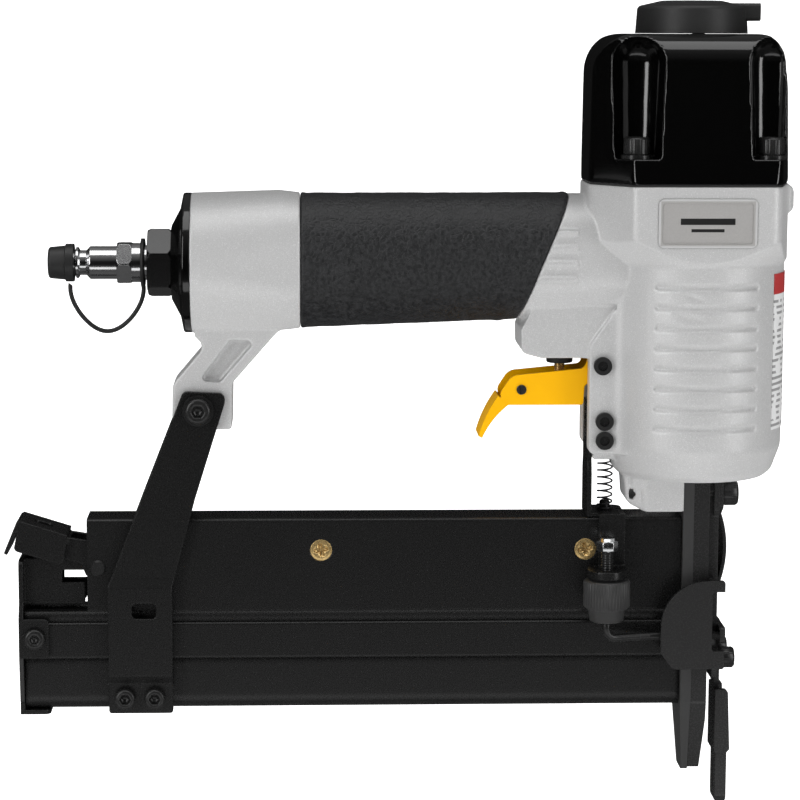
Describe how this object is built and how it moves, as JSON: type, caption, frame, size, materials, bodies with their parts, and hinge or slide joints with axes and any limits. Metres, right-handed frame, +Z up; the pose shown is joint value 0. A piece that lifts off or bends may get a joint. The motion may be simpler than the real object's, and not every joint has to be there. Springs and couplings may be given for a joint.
{
  "type": "pneumatic brad nailer and stapler",
  "caption": "Air-powered nail gun with an in-line handle, fluted cylinder cap, sheet trigger, side-loading fastener magazine on cranked struts and a spring-loaded safety contact.",
  "frame": {"origin": "on the driver axis, level with the tip of the safety contact at rest", "axes": "+Z up along the driver axis, from the work towards the exhaust; -X along the handle towards the air inlet; +Y across the tool"},
  "size_m": [0.2546, 0.0604, 0.264],
  "materials": {
    "cast_silver": "fine powder coat, slightly sparkling",
    "gloss_black": "gloss enamel",
    "black_sheet": "semi-gloss black coat",
    "black_oxide": "black oxide",
    "black_plastic": "fine matt texture",
    "grip_rubber": "wrinkled texture",
    "black_rubber": "smooth",
    "yellow_coat": "satin powder coat",
    "brass": "turned",
    "plug_chrome": "polished",
    "zinc": "bright zinc",
    "spring_steel": "oiled",
    "tool_steel": "ground",
    "label_film": "printed film",
    "plate_film": "satin plate",
    "knob_grey": "dark anodised, knurled",
    "gasket": "fibre"
  },
  "bodies": {
    "frame": {"housing": "cast_silver", "nameplate": "plate_film", "front_label": "label_film", "cylinder_cap": "gloss_black", "cap_gasket": "gasket", "cap_screws": "black_oxide", "washers": "black_oxide", "deflector_screw": "black_oxide", "cylinder_sleeve": "tool_steel", "cylinder_orings": "black_rubber", "bumper": "black_rubber", "handle_grip": "grip_rubber", "end_cap": "gloss_black", "end_cap_oring": "black_rubber", "inlet_bushing": "gloss_black", "air_plug": "plug_chrome", "dust_cap_strap": "black_rubber", "cross_pins": "black_oxide", "pin_grommets": "black_rubber", "valve_bushing": "black_plastic", "driver_guide": "black_oxide", "guide_front_plate": "black_oxide", "guide_cover_plate": "black_sheet", "nose_bolts": "black_oxide", "nose_guard": "black_sheet", "front_spring_plate": "black_sheet", "magazine_channel": "black_sheet", "magazine_cover": "black_sheet", "cover_screws": "brass", "nail_rail": "black_sheet", "strut_plates": "black_sheet", "strut_top_screws": "black_oxide", "strut_lower_screws": "black_oxide", "latch_pin": "black_oxide"},
    "deflector": {"exhaust_deflector": "black_plastic"},
    "head_valve": {"head_valve": "black_plastic", "head_valve_oring": "black_rubber", "head_valve_spring": "spring_steel"},
    "piston": {"piston": "tool_steel", "driver_blade": "tool_steel", "piston_oring": "black_rubber"},
    "dust_cap": {"dust_cap": "black_rubber"},
    "trigger": {"trigger": "yellow_coat", "lever_pin": "tool_steel"},
    "trigger_lever": {"trigger_lever": "spring_steel"},
    "valve_stem": {"valve_stem": "brass", "valve_spring": "spring_steel"},
    "safety_yoke": {"safety_yoke": "black_sheet", "safety_spring": "spring_steel"},
    "depth_knob": {"depth_knob": "knob_grey"},
    "contact": {"contact_rod": "black_oxide", "lock_nut": "zinc", "safety_contact": "black_sheet"},
    "latch": {"latch_lever": "black_sheet"},
    "drawer": {"drawer_rails": "black_sheet", "drawer_end_plate": "black_sheet", "drawer_screws": "black_oxide", "pusher_rod": "tool_steel"},
    "pusher": {"pusher": "tool_steel", "pusher_spring": "spring_steel"}
  },
  "joints": [
    {"name": "deflector_turn", "type": "hinge", "parent": "frame", "child": "deflector", "pos_m": [0, 0, 0.258], "axis": [0, 0, 1], "continuous": true},
    {"name": "head_valve_lift", "type": "slide", "parent": "frame", "child": "head_valve", "axis": [0, 0, 1], "range_m": [0, 0.005], "deforming": ["head_valve_spring"]},
    {"name": "piston_stroke", "type": "slide", "parent": "frame", "child": "piston", "axis": [0, 0, 1], "range_m": [-0.076, 0]},
    {"name": "dust_cap_pull", "type": "slide", "parent": "frame", "child": "dust_cap", "axis": [-1, 0, 0], "range_m": [0, 0.015]},
    {"name": "trigger_pull", "type": "hinge", "parent": "frame", "child": "trigger", "pos_m": [-0.031, 0, 0.148], "axis": [0, 1, 0], "range_deg": [0, 10]},
    {"name": "trigger_lever_tilt", "type": "hinge", "parent": "trigger", "child": "trigger_lever", "pos_m": [-0.0564, 0, 0.1394], "axis": [0, -1, 0], "range_deg": [0, 7.2]},
    {"name": "valve_stem_push", "type": "slide", "parent": "frame", "child": "valve_stem", "axis": [0, 0, 1], "range_m": [0, 0.0023], "deforming": ["valve_spring"]},
    {"name": "safety_lift", "type": "slide", "parent": "frame", "child": "safety_yoke", "axis": [0, 0, 1], "range_m": [0, 0.0055], "deforming": ["safety_spring"]},
    {"name": "depth_knob_turn", "type": "hinge", "parent": "safety_yoke", "child": "depth_knob", "pos_m": [-0.0289, -0.0163, 0.072], "axis": [0, 0, 1], "range_deg": [-720, 720]},
    {"name": "contact_depth", "type": "slide", "parent": "safety_yoke", "child": "contact", "axis": [0, 0, 1], "range_m": [-0.0016, 0.0016]},
    {"name": "latch_lift", "type": "hinge", "parent": "frame", "child": "latch", "pos_m": [-0.1935, 0, 0.0814], "axis": [0, 1, 0], "range_deg": [0, 25]},
    {"name": "drawer_slide", "type": "slide", "parent": "frame", "child": "drawer", "axis": [-1, 0, 0], "range_m": [0, 0.13]},
    {"name": "pusher_slide", "type": "slide", "parent": "drawer", "child": "pusher", "axis": [-1, 0, 0], "range_m": [0, 0.09], "deforming": ["pusher_spring"]}
  ],
  "couplings": [
    {"joint": "valve_stem_push", "follows": "trigger_pull", "m_per_rad": 0.012605},
    {"joint": "depth_knob_turn", "follows": "contact_depth", "rad_per_m": 7846.1}
  ]
}
